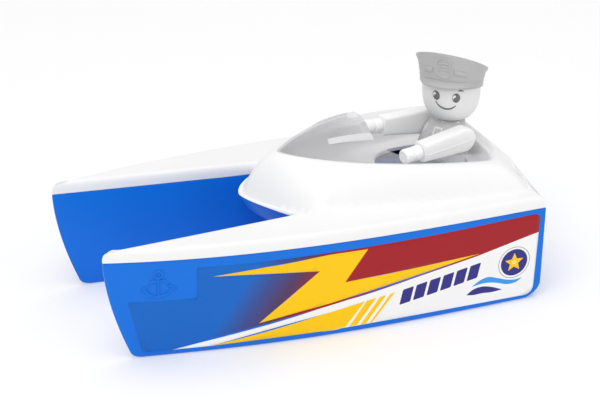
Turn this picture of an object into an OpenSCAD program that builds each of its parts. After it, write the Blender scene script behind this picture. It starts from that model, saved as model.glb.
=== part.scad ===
// Toy police catamaran: two slim floats under one white deck, a clear windscreen and a removable driver.
// Frame: +X towards the bows, +Y to port, +Z up, origin under the middle of the boat on the floor.

/* [Hull] */
// Length from the transom to the bow tips
hull_length = 250; // [240:1:260]
// Half the beam at the transom
transom_half = 66.95; // [66:0.05:68]
// Half width to the outside of a bow tip
bow_half = 48.4; // [47:0.1:50]
// Height of the blue moulding at the transom
side_height = 56.6; // [54:0.1:59]
// Extra height of the blue moulding at the bow tips
sheer_rise = 2.5; // [0:0.1:4]
// How far the stem leans back from deck to keel
stem_rake = 15; // [10:0.1:18]
// How far the outer side leans in from deck to keel
side_draft = 3.7; // [2:0.1:5]
// Wall thickness of the hull and deck mouldings
wall = 2; // [1.6:0.1:2.4]
// Height of the tunnel roof between the floats
tunnel_height = 46; // [44:0.5:48]

/* [Deck] */
// Height of the white deck above the blue side
deck_rise = 6.6; // [5:0.1:8]
// Distance from the transom to the tip of the nose
nose_reach = 156; // [150:1:160]
// Half width of the cabin where it meets the decks
cabin_half = 52; // [50:0.5:54]
// Half width of the cockpit rim
rim_half = 40; // [39:0.5:41]
// Distance from the transom to the front of the rim
rim_front = 133.8; // [131:0.1:136]
// Distance from the transom to the back of the rim
rim_back = 12; // [11:0.5:13]
// Height of the cockpit floor
floor_height = 65; // [64:0.5:66]

/* [Windscreen] */
// Thickness of the clear moulding
glass = 1.4; // [1.2:0.1:1.8]
// Height of the crown above the floor the boat stands on
crown_height = 99.7; // [98:0.1:102]
// Distance from the transom to the screen's rear edge
screen_back = 84; // [80:0.5:88]
// Height of the clear coaming around the cockpit
coaming = 4.6; // [3:0.1:5]

/* [Driver] */
// Distance from the transom to the driver's axis
driver_x = 31.5; // [30:0.5:32]
// Way the driver faces, turned from the bow towards port
driver_turn = 16; // [10:1:17]
// Way the head faces, counted from the chest
head_turn = 37; // [0:1:60]
// Width of the head
head_width = 33; // [30:0.5:34]
// Width of the cap's crown
cap_width = 41.5; // [40:0.5:43]
// Height of the seat pan
seat_height = 54; // [53:0.5:55]
// Height of the shoulder pivots
shoulder_height = 83; // [82:0.5:84]
// Distance of each arm's middle plane from the driver's axis
arm_offset = 17.6; // [17:0.1:18]
// Lift of the right arm above the horizontal
right_arm_lift = 8.5; // [0:0.5:15]

/* [Hidden] */

$fn = 48;
half = hull_length / 2;
stations = 22;               // steps along a float
hull_blue = [0.13, 0.46, 0.88];
deck_white = [0.96, 0.96, 0.95];
smoke = [0.72, 0.70, 0.69, 0.5];
fit = 0.05;                  // radial clearance of a pin or a peg
gap = 0.3;                   // clearance between bodies

// ---- curves shared by the mouldings; x counts forward from the transom ----

function bezier(t, a, b, c, d) =
    a * pow(1 - t, 3) + 3 * b * t * pow(1 - t, 2) + 3 * c * t * t * (1 - t) + d * pow(t, 3);
bow_flare = 24;              // pull of the outline's curve behind the bow
quarter_swell = 2.15;        // pull of the curve ahead of the transom
function outer_y(x) =
    bezier(1 - x / hull_length, bow_half, bow_half + bow_flare, transom_half + quarter_swell, transom_half);
tip_width = 1.4;             // width of a float at the very tip of its bow
inner_slope = 0.0958;        // how fast the inner sides draw together towards the stern
function inner_y(x) = bow_half - tip_width - (hull_length - x) * inner_slope;
function side_z(x) = side_height + sheer_rise * pow(x / hull_length, 2);

// A ring is a port rail followed by the matching rail run backwards.
function ring(a, b) = concat(a, [for (i = [len(b) - 1:-1:0]) b[i]]);
function mirrored(rail) = [for (p = rail) [p.x, -p.y, p.z]];
function lid(n, base, up) = [for (i = [0:n / 2 - 2])
    let (a = base + i, b = base + i + 1, c = base + n - 2 - i, d = base + n - 1 - i)
    each (up ? [[a, b, c], [a, c, d]] : [[c, b, a], [d, c, a]])];

// Closed skin over rings of equal length, with a strip of faces over the first and the last ring.
module skin(rings, turn = false) {
    n = len(rings[0]);
    m = len(rings);
    points = [for (r = rings) each r];
    bands = [for (k = [0:m - 2]) for (i = [0:n - 1])
        let (j = (i + 1) % n, a = k * n + i, b = k * n + j, c = a + n, d = b + n)
        each [[a, c, d], [a, d, b]]];
    faces = concat(bands, lid(n, 0, true), lid(n, (m - 1) * n, false));
    polyhedron(points, turn ? faces : [for (f = faces) [f[2], f[1], f[0]]]);
}

// ---- floats ----

// How far the stem has leaned back, and the side drawn in, at height share t.
function rake(t) = stem_rake * pow(1 - t, 1.7);
function reach(x, t) = x + rake(t) * x / hull_length;
function draft(x, t) = side_draft * (1 - t) * (1 - pow(reach(x, t) / hull_length, 8));

// Distance from the transom of step i at height share t, set in by a margin from the skin.
keel_radius = 9;
tip_setback = 5.2;           // a wedge this slim ends this far back for each millimetre of margin
function float_x(i, t, inset) = let (
    aft = inset + keel_radius * pow(1 - min(1, t * 6), 2),
    fore = hull_length - rake(t) - inset * tip_setback)
    aft + (fore - aft) * (1 - pow(1 - i / stations, 1.4));
function outer_rail(t, inset, z_of) = [for (i = [0:stations]) let (x = float_x(i, t, inset))
    [x - half, outer_y(reach(x, t)) - draft(x, t) - inset, z_of(x, t)]];
function inner_rail(t, inset, z_of) = [for (i = [0:stations]) let (x = float_x(i, t, inset))
    [x - half, inner_y(reach(x, t)) + inset, z_of(x, t)]];
function float_ring(t, inset, z_of) = ring(outer_rail(t, inset, z_of), inner_rail(t, inset, z_of));

share_z = function (x, t) t * side_z(x);
inner_z = function (x, t) max(wall, t * side_z(x));

module float_shell() {
    skin([
        float_ring(0, 1, share_z),
        float_ring(0.02, 0.3, share_z),
        float_ring(0.07, 0, share_z),
        float_ring(0.15, 0, share_z),
        float_ring(0.3, 0, share_z),
        float_ring(0.6, 0, share_z),
        float_ring(1, 0, share_z),
        float_ring(1, wall, share_z),
        float_ring(0.4, wall, inner_z),
        float_ring(0.01, wall + 1, inner_z)
    ]);
}

// Front edge of the nose in plan, and the tunnel roof under it.
function nose_x(y) = nose_reach - 28 * pow(abs(y) / 38, 1.6);
pod_steps = 10;
function pod_rail(back, z_front, z_side, inset) = concat(
    [for (i = [0:pod_steps]) let (y = 0.3 + (37 - inset) * pow(i / pod_steps, 1.2))
        [nose_x(y) - back - half, y, z_front + (z_side - z_front) * pow(i / pod_steps, 2)]],
    [for (i = [1:pod_steps]) let (x0 = nose_x(37) - back, x = x0 + (inset - x0) * i / pod_steps)
        [x - half, inner_y(x) + 1 - inset, z_side]]);
function pod_ring(back, z_front, z_side, inset = 0) =
    let (r = pod_rail(back, z_front, z_side, inset)) ring(r, mirrored(r));

module pod_shell() {
    skin([
        pod_ring(17, tunnel_height, tunnel_height, 1),
        pod_ring(11, tunnel_height + 2.5, tunnel_height + 1, 0.3),
        pod_ring(5, tunnel_height + 8, 50),
        pod_ring(1, tunnel_height + 16.6, 56.5),
        pod_ring(1 + wall, tunnel_height + 16.6, 56.5, wall),
        pod_ring(11 + wall, tunnel_height + wall, tunnel_height + wall, wall)
    ], true);
}

aft_screws = [[5.6, 15], [5.6, -15]];
fore_screws = [[86, 17], [86, -17]];
screw_hole = 1.4;
module at_screws(places) for (p = places) translate([p.x - half, p.y, 0]) children();

// The blue lower moulding in three parts: two floats, and the tunnel roof with its pod between them.
module port_float() color(hull_blue) float_shell();
module starboard_float() color(hull_blue) mirror([0, 1, 0]) float_shell();
module tunnel_roof() color(hull_blue) difference() {
    intersection() {
        pod_shell();
        linear_extrude(side_height + sheer_rise + 10) polygon([for (p = [[0, 1], [hull_length, 1],
            [hull_length, -1], [0, -1]]) [p.x - half, p.y * inner_y(p.x)]]);
    }
    at_screws(concat(aft_screws, fore_screws))
        translate([0, 0, tunnel_height - 1]) cylinder(r = screw_hole, h = 2 * wall);
}

// ---- deck ----

seam = 0.1;                  // gap between the blue and the white moulding
function deck_ring(t, inset, depth = 0) = [for (p = float_ring(1, inset, share_z))
    [p.x, p.y, p.z + seam + t * deck_rise - depth]];

module deck_cap() {
    skin([
        deck_ring(0, wall),
        deck_ring(0, 0.3),
        deck_ring(0.45, 0.5),
        deck_ring(0.8, 1.3),
        deck_ring(1, 3),
        deck_ring(1, 3.4, wall),
        deck_ring(0.6, wall + 0.6, 1)
    ]);
}

// ---- cabin: rails from the nose tip along the port side to the middle of the transom ----

nose_steps = 8;
side_steps = 10;
back_steps = 6;
function mix(a, b, f) = a + (b - a) * f;
function rim_y(x) = rim_half * sin(90 * pow(min(1, (rim_front - x) / 115), 0.7));
function rim_z(x) = 85.2 - (rim_front - x) * 0.0735;
function cabin_y(x) = 38 + (cabin_half - 32) * (1 - pow(x / 128, 1.3));
rim_corner = 26;

// Foot of the cabin where it meets the nose edge, the decks and the transom.
function foot_rail() = concat(
    [for (i = [0:nose_steps]) let (a = i / nose_steps, y = 0.3 + 37.7 * pow(a, 1.1))
        [nose_x(y), y, 62.9 - 2.9 * a * a]],
    [for (i = [1:side_steps]) let (b = i / side_steps) [128 * (1 - b), cabin_y(128 * (1 - b)), 62]],
    [for (i = [1:back_steps]) let (c = i / back_steps) [0, mix(cabin_y(0), 0.3, c), side_height + 0.2]]);

// Rim of the cockpit, set in by a margin towards the middle of the cabin.
function rim_point(x, y, inset) =
    let (v = [x - 70, y], s = 1 - inset / norm(v)) [70 + v.x * s, max(0.3, v.y * s), rim_z(x)];
function rim_back_point(a, inset) = rim_point(
    rim_corner - (rim_corner - rim_back) * pow(sin(a), 2 / 3),
    rim_half * pow(max(0, cos(a)), 2 / 3), inset);
function rim_rail(inset = 0) = concat(
    [for (i = [0:nose_steps]) let (x = rim_front - 0.2 - 30 * pow(i / nose_steps, 1.6))
        rim_point(x, rim_y(x), inset)],
    [for (i = [1:side_steps]) let (x = mix(rim_front - 30.2, rim_corner, i / side_steps))
        rim_point(x, rim_y(x), inset)],
    [for (i = [1:back_steps]) rim_back_point(90 * i / back_steps, inset)]);

// Shoulder between foot and rim: half way in on the sides, upright over the transom.
function shoulder_rail(foot, rim) = [for (i = [0:len(foot) - 1])
    let (b = min(1, max(0, (i - nose_steps) / side_steps)),
         c = max(0, (i - nose_steps - side_steps) / back_steps))
    c > 0 ? [0.4, mix(38, 0.3, c), 69 + 2.5 * min(1, 3 * c)]
          : [mix(foot[i].x, rim[i].x, 0.5 * (1 - pow(b, 3))),
             mix(foot[i].y, rim[i].y, 0.5 + 0.6 * pow(b, 4)),
             mix(foot[i].z, rim[i].z, 0.72 - 0.26 * pow(b, 4))]];

// Rail part way between two others, pushed out by a bulge.
function between(a, b, f, lift) = [for (i = [0:len(a) - 1]) mix(a[i], b[i], f) + [0, 0, lift]];
function lowered(rail, z) = [for (p = rail) [p.x, p.y, z]];
function shifted(rail, dz) = [for (p = rail) [p.x, p.y, p.z + dz]];
function drawn_in(rail, inset, dz) = [for (p = rail)
    let (v = [p.x - 70, p.y], s = 1 - inset / norm(v)) [70 + v.x * s, max(0.3, v.y * s), p.z + dz]];
function placed(rail) = let (r = [for (p = rail) [p.x - half, p.y, p.z]]) ring(r, mirrored(r));

// Oval well in the cockpit floor, matched point for point to the rim rail.
well_mid = 45.5;
well_long = 25.5;
well_wide = 24.5;
well_power = 0.77;
function well_rail(z) = let (n = nose_steps + side_steps + back_steps) [for (i = [0:n])
    let (a = 180 * i / n) [well_mid + well_long * sign(cos(a)) * pow(abs(cos(a)), well_power),
     max(0.3, well_wide * pow(sin(a), well_power)), z]];

// Closed band of rings, joined from the last back to the first.
module skin_loop(rings) {
    n = len(rings[0]);
    m = len(rings);
    points = [for (r = rings) each r];
    polyhedron(points, [for (k = [0:m - 1]) for (i = [0:n - 1])
        let (j = (i + 1) % n, e = ((k + 1) % m) * n, a = k * n + i, b = k * n + j, c = e + i, d = e + j)
        each [[d, b, a], [c, d, a]]]);
}

// The tub hangs from the cabin along an upright joint just inside the rim.
joint_top = shifted(rim_rail(1.2), -0.1);
joint_foot = shifted(rim_rail(1.2), -wall - 1);

module cabin_shell() {
    foot = foot_rail();
    rim = rim_rail();
    shoulder = shoulder_rail(foot, rim);
    skin_loop([for (r = [
        foot,
        between(foot, shoulder, 0.5, 0.8),
        shoulder,
        between(shoulder, rim, 0.5, 1),
        rim,
        joint_top,
        joint_foot,
        drawn_in(shoulder, 2.6, -1.6),
        drawn_in(foot, wall + 0.6, 0.1)
    ]) placed(r)]);
}

// Thinner than the rest, with a step below the joint that keeps its outside clear of the cabin and the decks.
tub_floor = 0.7 * wall;
module tub_shell() skin_loop([for (r = [
    joint_top,
    shifted(rim_rail(3), -0.2),
    lowered(rim_rail(4), floor_height),
    well_rail(floor_height),
    well_rail(floor_height - tub_floor),
    lowered(rim_rail(2.8), floor_height - tub_floor),
    shifted(rim_rail(2.3), -wall - 1),
    joint_foot
]) placed(r)]);

boss_radius = 3.2;
boss_bore = 1.3;
module screw_bosses(places) at_screws(places) difference() {
    translate([0, 0, tunnel_height + wall + seam])
        cylinder(r = boss_radius, h = floor_height - tunnel_height - 2 * wall + 1);
    translate([0, 0, tunnel_height + wall]) cylinder(r = boss_bore, h = 10);
}

// The white upper moulding in two parts: the decks with nose and cabin, and the cockpit's tub.
module upper_deck() color(deck_white) union() {
    deck_cap();
    mirror([0, 1, 0]) deck_cap();
    cabin_shell();
    screw_bosses(aft_screws);
}
module cockpit_tub() color(deck_white) union() {
    tub_shell();
    screw_bosses(fore_screws);
}

// ---- windscreen ----

screen_steps = 13;
arch_steps = 16;
crease_width = 0.606;        // where the side meets the roof, as a share of the half width
crease_height = 0.643;       // and as a share of the rise
function crown_z(x) = rim_z(rim_front) + (crown_height - rim_z(rim_front))
    * pow(sin(90 * min(1, (rim_front - x) / (rim_front - screen_back))), 0.85);
// Point of the arch at u, from 1 at the port rim to -1 at the starboard rim: flat sides, curved roof.
function arch_point(u) = let (s = 2 * abs(u))
    s > 1 ? [sign(u) * mix(crease_width, 1, s - 1), crease_height * (1 - pow(s - 1, 1.1))]
          : [sign(u) * s * crease_width, 1 - (1 - crease_height) * s * s];
function arch(x, y, z0, rise) = [for (i = [0:arch_steps]) let (p = arch_point(1 - 2 * i / arch_steps))
    [x - half, y * p.x, z0 + rise * p.y]];
function screen_ring(x) = let (y = rim_y(x) - 0.4, z0 = rim_z(x) + 0.1, rise = crown_z(x) - z0)
    ring(arch(x, y, z0, rise), arch(x, max(0.3 * y, y - glass), z0, max(0.3 * rise, rise - glass)));

// Low coaming that runs on around the cockpit, higher where it meets the screen.
cut_start = 72;              // where the cut edge starts to climb towards the screen
cut_rise = 9;                // how far it has climbed
cut_run = 16;                // after so many millimetres
function coaming_top(x) = coaming + cut_rise * pow(max(0, (x - cut_start) / cut_run), 1.8);
function coaming_section(x, y) = let (h = coaming_top(x), lean = h * 0.13)
    [for (q = [[0.4, 0.1], [0.4 + lean, h], [0.4 + lean + glass, h], [0.4 + glass, 0.1]])
        let (p = rim_point(x, y, q[0])) [p.x - half, p.y, p.z + q[1]]];
function coaming_half() = concat(
    [for (i = [0:10]) let (x = mix(screen_back + 3, rim_corner, i / 10)) coaming_section(x, rim_y(x))],
    [for (i = [1:9]) let (a = 90 * i / 9)
        coaming_section(rim_corner - (rim_corner - rim_back) * pow(sin(a), 2 / 3),
            rim_half * pow(max(0, cos(a)), 2 / 3))]);
function coaming_rings() = let (port = coaming_half(), n = len(port))
    concat(port, [for (i = [n - 1:-1:0]) mirrored(port[i])]);

// Clear smoked moulding: the domed screen and the coaming in one piece.
module windscreen() color(smoke) union() {
    skin([for (i = [0:screen_steps])
        screen_ring(mix(rim_front - 0.8, screen_back, pow(i / screen_steps, 1.3)))]);
    skin(coaming_rings());
}

// ---- fittings ----

module rounded_block(size, r) {
    translate([r, 0, 0]) cube([size.x - 2 * r, size.y, size.z]);
    translate([0, r, 0]) cube([size.x, size.y - 2 * r, size.z]);
    for (x = [r, size.x - r]) for (y = [r, size.y - r]) translate([x, y, 0]) cylinder(r = r, h = size.z);
}

// Blue seat moulding in the bottom of the well, with a low back rest.
seat_from = 20.5;
module seat() color(hull_blue) {
    bottom = tunnel_height + wall + 0.1;
    translate([seat_from - half, -17, bottom]) union() {
        rounded_block([42, 34, seat_height - bottom], 6);
        translate([0, 11, 0]) cube([2, 12, seat_height - bottom]);
    }
}

// Self-tapping screws up through the tunnel roof into the deck's bosses.
module hull_screws() color("silver") at_screws(concat(aft_screws, fore_screws))
    translate([0, 0, tunnel_height]) {
    difference() {
        translate([0, 0, -1.6]) cylinder(r = 2.8, h = 1.6);
        translate([-2, -0.35, -1.7]) cube([4, 0.7, 0.8]);
        translate([-0.35, -2, -1.7]) cube([0.7, 4, 0.8]);
    }
    cylinder(r = 1.4, h = 10);
}

// ---- stickers ----

sticker_from = 5;
sticker_to = 231;
sticker_steps = 34;
function hull_point(x, t, proud) = [x - half, outer_y(reach(x, t)) - draft(x, t) + proud, t * side_z(x)];
function sticker_top(x) = x < 199 ? 0.93 : x > 204 ? 0.66 : mix(0.93, 0.66, (x - 199) / 5);
function sticker_ring(x) = ring(
    [for (f = [0, 0.33, 0.66, 1]) hull_point(x, mix(0.1, sticker_top(x), f), 0.25)],
    [for (f = [0, 0.33, 0.66, 1]) hull_point(x, mix(0.1, sticker_top(x), f), 0.08)]);

// Printed sticker on the outer side of the port float.
module port_sticker() color("orange")
    skin([for (i = [0:sticker_steps])
        sticker_ring(mix(sticker_from, sticker_to, i / sticker_steps))], true);

// The same sticker on the starboard float.
module starboard_sticker() mirror([0, 1, 0]) port_sticker();

// ---- driver: each piece is drawn facing +X about the driver's own axis ----

module at_driver() translate([driver_x + 2 - half, 0, 0]) rotate([0, 0, driver_turn]) children();

hip_height = 60.3;
neck_height = 90;
neck_back = 7;               // the neck stands behind the hips, as the figure leans back
peg_r = 2.5;
pin_r = 2;
torso_side = 12.6;
// Angles of a ring's two rails: half a turn out on one side, and back on the other.
function rail_angles(side, n) = [for (i = [0:n]) 180 * (side > 0 ? i / n : 1 - i / n)];
oval_power = 0.8;
function oval(a, b, z, back = 0) = [for (side = [1, -1]) each [for (t = rail_angles(side, 16))
    [a * sign(cos(t)) * pow(abs(cos(t)), oval_power) - back, side * max(0.2, b * pow(sin(t), oval_power)), z]]];

module torso_form() skin([
    oval(7.5, 14.5, seat_height + gap),
    oval(8.8, 16.2, seat_height + 2),
    oval(9.2, 16.8, 68),
    oval(9, 15.4, 77, 1.2),
    oval(8.6, 12.9, 83.5, 3.2),
    oval(8, 10.2, 88, 5.6),
    oval(7.4, 8.8, neck_height, neck_back)
], true);

module driver_torso() at_driver() color([0.7, 0.7, 0.71]) union() {
    difference() {
        torso_form();
        for (side = [1, -1]) {
            translate([-12, side > 0 ? torso_side : -torso_side - 8, 75.2]) cube([24, 8, 20]);
            translate([0, side * 7, shoulder_height]) rotate([-90 * side, 0, 0])
                cylinder(r = peg_r + fit, h = 8);
        }
        translate([-6.6, -9.9, seat_height - 1]) cube([20, 19.8, 15.6]);
        translate([0, -13, hip_height]) rotate([-90, 0, 0]) cylinder(r = pin_r, h = 26);
    }
    translate([-neck_back, 0, neck_height - 1]) cylinder(r = 4, h = 7);
}

// Both legs in one moulding, hinged on the hip pin.
module driver_legs() at_driver() color([0.45, 0.46, 0.5]) difference() {
    union() {
        for (side = [-1, 1]) translate([0, side * 4.9, 0]) {
            translate([0, 0, hip_height]) rotate([90, 0, 0]) cylinder(r = 5.4, h = 9.3, center = true);
            translate([0, -4.65, hip_height - 5]) cube([26, 9.3, 10]);
            translate([25, -4.65, seat_height + gap + 0.2]) rounded_block([8, 9.3, 11], 2);
        }
        translate([0, -2, hip_height - 4]) cube([18, 4, 8]);
    }
    translate([0, -12, hip_height]) rotate([-90, 0, 0]) cylinder(r = pin_r + fit, h = 24);
}

module hip_pin() at_driver() color("silver")
    translate([0, -12.8, hip_height]) rotate([-90, 0, 0]) cylinder(r = pin_r, h = 25.6);

// Egg-shaped head on the neck peg, flat on top under the cap.
head_base = neck_height + gap;
head_r = head_width / 2;
chin_r = 8.6;
jaw_height = 15.2;
brow_height = 110.6;
function head_profile() = concat([[0, head_base], [chin_r, head_base]],
    [for (i = [1:9]) let (a = 10 * i)
        [chin_r + (head_r - chin_r) * sin(a), head_base + jaw_height * (1 - cos(a))]],
    [[head_r, brow_height], [head_r - 1, brow_height + 2.5], [head_r - 4, brow_height + 4.5],
     [0, brow_height + 4.5]]);

module at_neck() at_driver() translate([-neck_back, 0, 0]) rotate([0, 0, head_turn]) children();
module driver_head() at_neck() color([0.86, 0.86, 0.86]) difference() {
    rotate_extrude() polygon(head_profile());
    translate([0, 0, head_base - 1]) cylinder(r = 4 + fit, h = 7.6);
}

// Peaked cap, flared and taller at the front.
cap_askew = -10;             // direction the cap is highest in, off the face's own
function tilted(r, z, tilt) = [for (side = [1, -1]) each [for (t = rail_angles(side, 20))
    [r * cos(t) * cos(tilt), side * max(0.15, r * sin(t)), z + r * cos(t) * sin(tilt)]]];
cap_r = cap_width / 2;

module driver_cap() at_neck() color([0.72, 0.72, 0.73]) difference() {
    union() {
        rotate([0, 0, cap_askew]) skin([
            tilted(cap_r - 2.9, 110, 10),
            tilted(cap_r - 2.7, 112.8, 13),
            tilted(cap_r - 2, 116.6, 20),
            tilted(cap_r - 1.3, 120, 26),
            tilted(cap_r, 122.2, 30),
            tilted(cap_r, 123, 30),
            tilted(cap_r - 2.5, 123.7, 30),
            tilted(cap_r - 9, 124.2, 30)
        ], true);
        translate([15, 0, 116.8]) rotate([0, 25, 0]) intersection() {
            translate([-9.5, 0, 0]) cylinder(r = 15.4, h = 1.6);
            translate([-8, -13, -1]) cube([16, 26, 4]);
        }
    }
    rotate_extrude() polygon([[0, neck_height], [head_r + gap, neck_height], [head_r + gap, brow_height],
        [head_r - 1 + gap, brow_height + 2.5 + gap], [head_r - 4 + gap, brow_height + 4.8],
        [0, brow_height + 4.8]]);
}

// An arm in its own frame: shoulder pivot at the origin, reaching along +X, peg towards -Y.
sleeve_length = 31;
arm_half = 4.4;
module arm_form() difference() {
    union() {
        hull() {
            rotate([90, 0, 0]) cylinder(r = 7.2, h = 2 * arm_half - 1, center = true, $fn = 32);
            rotate([90, 0, 0]) cylinder(r = 6.2, h = 2 * arm_half, center = true, $fn = 32);
            translate([sleeve_length - 6, -arm_half, -5.2]) cube([6, 2 * arm_half, 10.4]);
        }
        translate([0, -arm_half + 0.1, 0]) rotate([90, 0, 0]) cylinder(r = peg_r, h = 4.6);
    }
    translate([sleeve_length - 5, 0, 0]) rotate([0, 90, 0]) cylinder(r = pin_r + fit, h = 6);
}

// A fist on a peg that turns in the sleeve, in two steps with a groove between them.
fist_r = 4.2;
module hand_form() translate([sleeve_length, 0, 0]) rotate([0, 90, 0]) {
    translate([0, 0, -4.6]) cylinder(r = pin_r, h = 6);
    translate([0, 0, 0.2]) cylinder(r = fist_r, h = 5.2);
    translate([0, 0, 5]) cylinder(r = fist_r - 0.8, h = 1.6);
    translate([0, 0, 6.2]) cylinder(r = fist_r, h = 5);
    translate([0, 0, 11.2]) cylinder(r1 = fist_r, r2 = fist_r - 0.8, h = 0.8);
}

module at_left_shoulder() at_driver() translate([0, arm_offset, shoulder_height]) children();
module at_right_shoulder() at_driver() translate([0, -arm_offset, shoulder_height])
    rotate([0, -right_arm_lift, 0]) mirror([0, 1, 0]) children();

module left_arm() color([0.93, 0.93, 0.93]) at_left_shoulder() arm_form();
module right_arm() color([0.93, 0.93, 0.93]) at_right_shoulder() arm_form();
module left_hand() color([0.88, 0.88, 0.88]) at_left_shoulder() hand_form();
module right_hand() color([0.88, 0.88, 0.88]) at_right_shoulder() hand_form();

port_float();
starboard_float();
tunnel_roof();
upper_deck();
cockpit_tub();
windscreen();
seat();
hull_screws();
port_sticker();
starboard_sticker();
driver_torso();
driver_legs();
hip_pin();
driver_head();
driver_cap();
left_arm();
right_arm();
left_hand();
right_hand();
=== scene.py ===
"""Looks of the toy police catamaran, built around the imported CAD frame.
Lengths are in millimetres and x counts forward from the transom. place() turns them into the row frame."""
import math

import bmesh
import bpy
import numpy as np
from mathutils import Matrix, Vector
from mathutils.geometry import delaunay_2d_cdt


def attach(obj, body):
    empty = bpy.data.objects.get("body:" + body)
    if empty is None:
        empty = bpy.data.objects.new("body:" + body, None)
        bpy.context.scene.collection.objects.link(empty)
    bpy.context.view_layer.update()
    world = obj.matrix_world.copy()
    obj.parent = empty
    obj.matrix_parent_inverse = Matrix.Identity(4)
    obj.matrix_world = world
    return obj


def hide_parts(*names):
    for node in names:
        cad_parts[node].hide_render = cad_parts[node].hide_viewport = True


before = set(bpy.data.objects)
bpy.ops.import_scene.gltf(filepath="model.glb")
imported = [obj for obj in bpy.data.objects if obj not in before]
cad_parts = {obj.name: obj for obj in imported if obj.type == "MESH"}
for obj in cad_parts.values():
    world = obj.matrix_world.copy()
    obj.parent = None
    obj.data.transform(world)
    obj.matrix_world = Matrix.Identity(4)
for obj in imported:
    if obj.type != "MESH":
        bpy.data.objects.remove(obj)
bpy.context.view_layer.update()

# ---------------------------------------------------------------- driving sizes, as in the CAD model

LENGTH = 250.0
SIDE_HEIGHT, SHEER = 56.6, 2.5
TRANSOM_HALF, BOW_HALF = 66.95, 48.4
STEM_RAKE, SIDE_DRAFT, TIP_WIDTH, INNER_SLOPE = 15.0, 3.7, 1.4, 0.0958
TIP_SETBACK = 5.2
DECK_RISE, NOSE_REACH = 6.6, 156.0
RIM_HALF, RIM_FRONT, RIM_CORNER = 40.0, 133.8, 26.0
CABIN_HALF, FLOOR = 52.0, 65.0
WELL_MID, WELL_LONG, WELL_WIDE, WELL_POWER = 45.5, 25.5, 24.5, 0.77
CROWN, SCREEN_BACK, GLASS, COAMING = 99.7, 84.0, 1.4, 4.6
DRIVER_X, DRIVER_TURN, HEAD_TURN, NECK_BACK = 33.5, 16.0, 37.0, 7.0
NECK, SHOULDER, ARM_OFFSET, RIGHT_LIFT = 90.0, 83.0, 17.6, 8.5
SEAT = 54.0
HEAD_R = 16.5


def place(p):
    return ((p[0] - LENGTH / 2) / 1000, p[1] / 1000, p[2] / 1000)


def mix(a, b, f):
    return a + (b - a) * f


def smooth(lo, hi, v):
    t = np.clip((v - lo) / (hi - lo), 0, 1)
    return t * t * (3 - 2 * t)


def bowed(v, power):
    """v raised to a power with its sign kept, which rounds or squares an oval."""
    return math.copysign(abs(v) ** power, v)


# ---------------------------------------------------------------- curves shared by the mouldings

def outer_y(x):
    t = 1 - x / LENGTH
    a, b, c, d = BOW_HALF, BOW_HALF + 24, TRANSOM_HALF + 2.15, TRANSOM_HALF
    return a * (1 - t) ** 3 + 3 * b * t * (1 - t) ** 2 + 3 * c * t * t * (1 - t) + d * t ** 3


def inner_y(x):
    return BOW_HALF - TIP_WIDTH - (LENGTH - x) * INNER_SLOPE


def side_z(x):
    return SIDE_HEIGHT + SHEER * (x / LENGTH) ** 2


def rake(t):
    return STEM_RAKE * (1 - t) ** 1.7


def reach(x, t):
    return x + rake(t) * x / LENGTH


def draft(x, t):
    return SIDE_DRAFT * (1 - t) * (1 - (reach(x, t) / LENGTH) ** 8)


def hull_point(x, z, proud=0.0):
    """Point on the outer side of the port float at height z."""
    t = z / side_z(x)
    return (x, outer_y(reach(x, t)) - draft(x, t) + proud, z)


def nose_x(y):
    return NOSE_REACH - 28 * (abs(y) / 38) ** 1.6


def rim_z(x):
    return 85.2 - (RIM_FRONT - x) * 0.0735


def rim_y(x):
    return RIM_HALF * math.sin(math.radians(90 * min(1.0, max(0.0, (RIM_FRONT - x) / 115)) ** 0.7))


def cabin_y(x):
    return 38 + (CABIN_HALF - 32) * (1 - (x / 128) ** 1.3)


# ---------------------------------------------------------------- mesh helpers

def new_object(name, verts, faces, body, slot_name, material, node=None, smooth_angle=35):
    mesh = bpy.data.meshes.new(name)
    mesh.from_pydata([place(v) for v in verts], [], [list(f) for f in faces])
    mesh.validate()
    bm = bmesh.new()
    bm.from_mesh(mesh)
    bmesh.ops.remove_doubles(bm, verts=bm.verts, dist=2e-6)
    bmesh.ops.recalc_face_normals(bm, faces=bm.faces)
    bm.to_mesh(mesh)
    bm.free()
    obj = bpy.data.objects.new(name, mesh)
    bpy.context.scene.collection.objects.link(obj)
    mesh.shade_smooth()
    mesh.set_sharp_from_angle(angle=math.radians(smooth_angle))
    for m in (material if isinstance(material, list) else [material]):
        mesh.materials.append(m)
    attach(obj, body)
    if node:
        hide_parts(*([node] if isinstance(node, str) else node))
    return obj


def ring_faces(m, n, closed=True, offset=0, wrap=False):
    """Quads between m rings of n points. closed joins each ring's ends, wrap joins the last ring to the first."""
    out = []
    for k in range(m if wrap else m - 1):
        for i in range(n if closed else n - 1):
            j, l = (i + 1) % n, (k + 1) % m
            out.append((offset + k * n + i, offset + k * n + j, offset + l * n + j, offset + l * n + i))
    return out


def strip_lid(n, base):
    """Faces across a ring made of a rail and the matching rail run backwards."""
    return [(base + i, base + i + 1, base + n - 2 - i, base + n - 1 - i) for i in range(n // 2 - 1)]


def skin(rings):
    """Closed skin over rings made of a rail out and a matching rail back."""
    n = len(rings[0])
    faces = ring_faces(len(rings), n) + strip_lid(n, 0) + strip_lid(n, (len(rings) - 1) * n)
    return [p for r in rings for p in r], faces


def join(*parts):
    verts, faces = [], []
    for v, f in parts:
        base = len(verts)
        verts += list(v)
        faces += [tuple(i + base for i in q) for q in f]
    return verts, faces


def mirrored(part):
    v, f = part
    return [(p[0], -p[1], p[2]) for p in v], [tuple(reversed(q)) for q in f]


def bevel(obj, width, segments=3, angle=40):
    mod = obj.modifiers.new("edge_round", "BEVEL")
    mod.width = width / 1000
    mod.segments = segments
    mod.limit_method = "ANGLE"
    mod.angle_limit = math.radians(angle)
    return mod


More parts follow.
